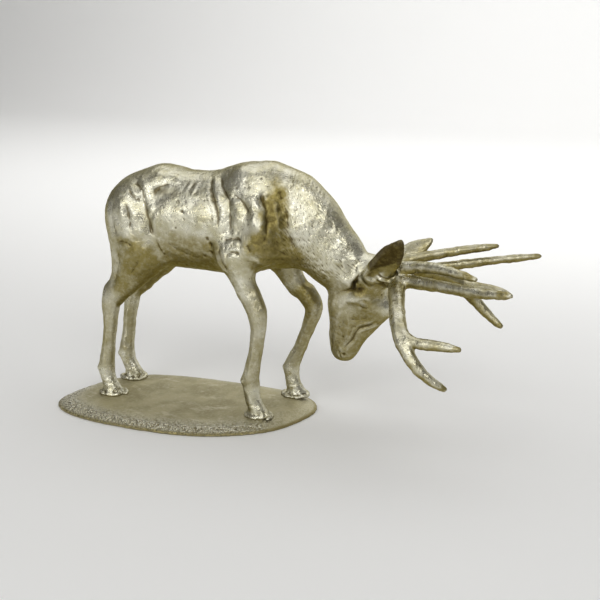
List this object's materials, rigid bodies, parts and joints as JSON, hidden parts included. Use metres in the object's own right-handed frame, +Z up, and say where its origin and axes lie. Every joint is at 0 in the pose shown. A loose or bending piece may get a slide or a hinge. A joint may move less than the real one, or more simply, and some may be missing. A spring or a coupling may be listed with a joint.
{
  "type": "stag sculpture",
  "caption": "Cast bronze grazing stag with long branched antlers, lowered head and one bent foreleg, standing on a low oblong plate with a sloping rim.",
  "frame": {"origin": "middle of the flat underside of the plate", "axes": "+X the way the stag faces, +Y its left side, +Z up"},
  "size_m": [0.4743, 0.1921, 0.2588],
  "materials": {
    "bright_bronze": "pale silvery bronze, satin polished on the flanks, olive and brown in the hollows and on the undersides, with casting pits",
    "plate_bronze": "duller rubbed bronze, fine-grained flat face with a pebbled rim"
  },
  "bodies": {
    "root": {"stag": "bright_bronze", "base": "plate_bronze"}
  },
  "joints": []
}
